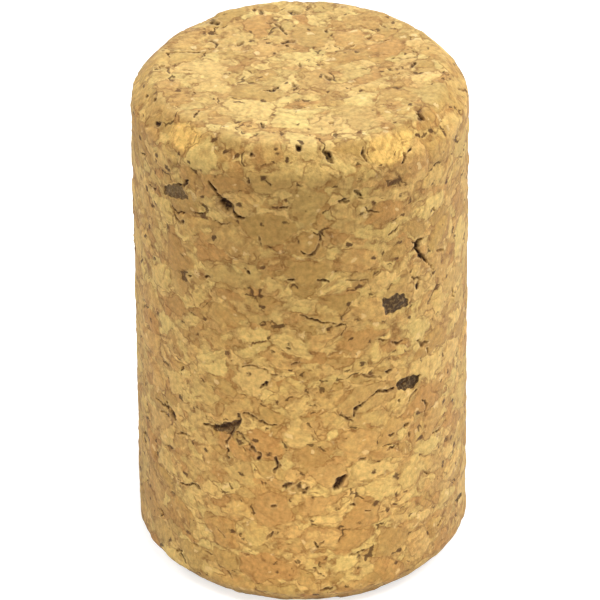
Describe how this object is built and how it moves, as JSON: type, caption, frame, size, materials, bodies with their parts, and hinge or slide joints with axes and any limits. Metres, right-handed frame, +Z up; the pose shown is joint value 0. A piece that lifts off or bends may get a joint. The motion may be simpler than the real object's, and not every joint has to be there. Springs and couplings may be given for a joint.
{
  "type": "cork stopper",
  "caption": "Straight stopper of pressed cork granules with chamfered ends, pushed into a bottle neck or jar mouth to close it",
  "frame": {"origin": "centre of the base, on the surface that the stopper stands on", "axes": "+Z runs up the stopper's axis from the base to the top face, +Y points from the front to the back, and +X to the right"},
  "size_m": [0.024, 0.024, 0.038],
  "materials": {
    "cork": "ground agglomerated cork, dry and matt"
  },
  "bodies": {
    "root": {"stopper": "cork"}
  },
  "joints": []
}
